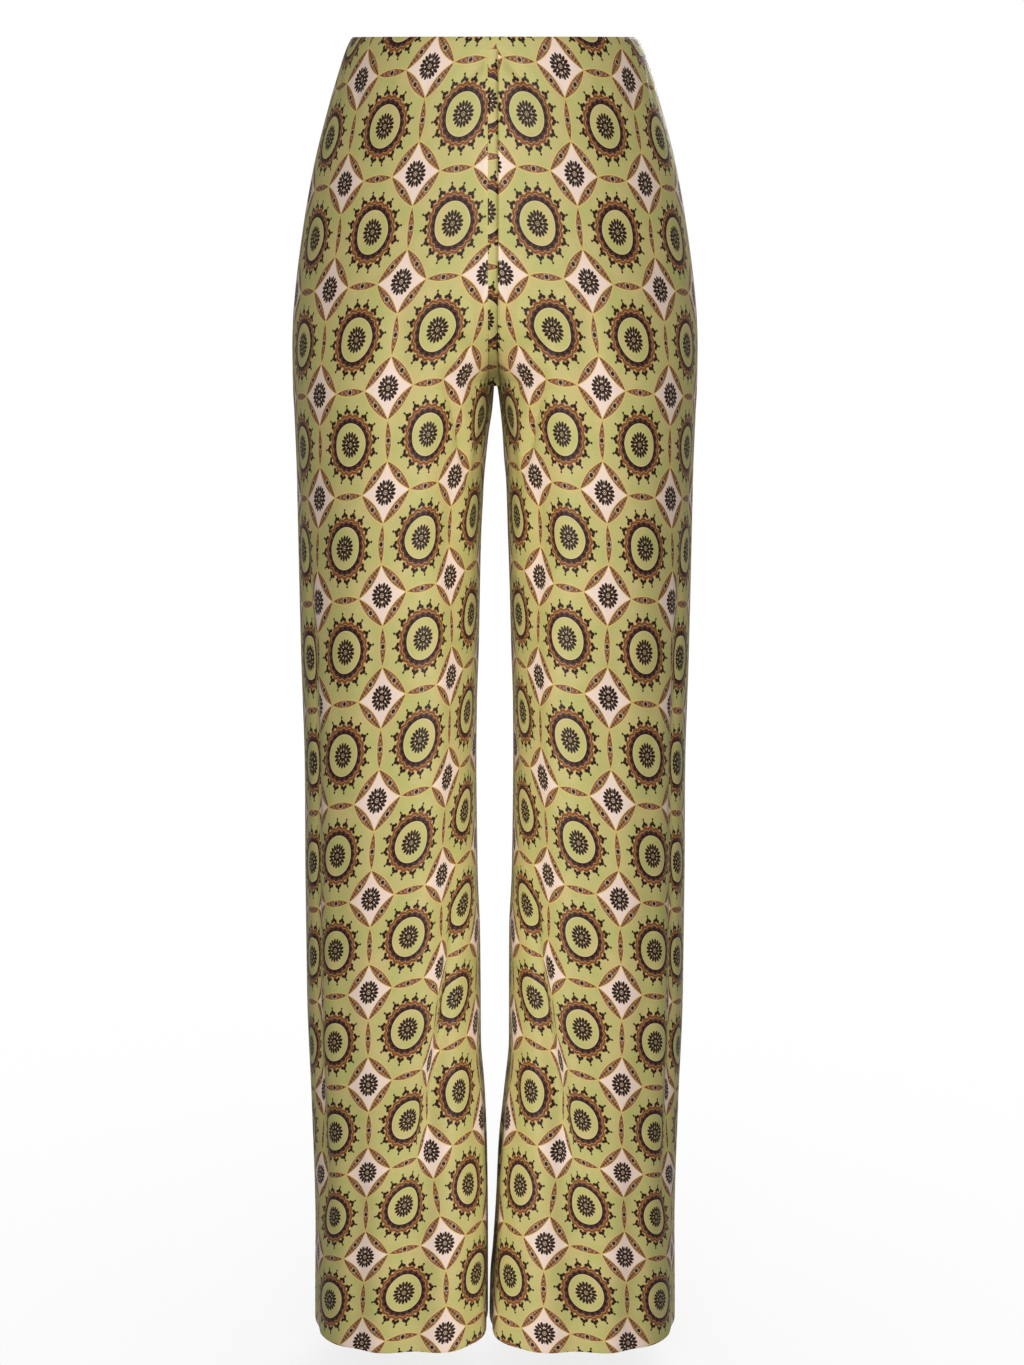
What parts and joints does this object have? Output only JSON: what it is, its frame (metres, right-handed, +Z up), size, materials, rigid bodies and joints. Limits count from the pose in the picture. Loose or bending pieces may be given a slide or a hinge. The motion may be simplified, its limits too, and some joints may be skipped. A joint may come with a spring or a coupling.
{
  "type": "flare pants",
  "caption": "High-waisted full-length trousers with wide, slightly flared legs, filled out and open at the waist and hems.",
  "frame": {"origin": "middle of the waist opening, level with its top edge", "axes": "+X to the wearer's left, +Y to the back, +Z up; the legs hang down along -Z"},
  "size_m": [0.3328, 0.2409, 1.1],
  "materials": {
    "printed_cloth": "soft satin with a medallion print",
    "facing_cloth": "soft satin with the medallion print, its right side turned to the inside"
  },
  "bodies": {
    "root": {"front_panel_left": "printed_cloth", "front_panel_right": "printed_cloth", "back_panel_left": "printed_cloth", "back_panel_right": "printed_cloth", "centre_front_strip": "printed_cloth", "waist_facing": "facing_cloth"}
  },
  "joints": []
}
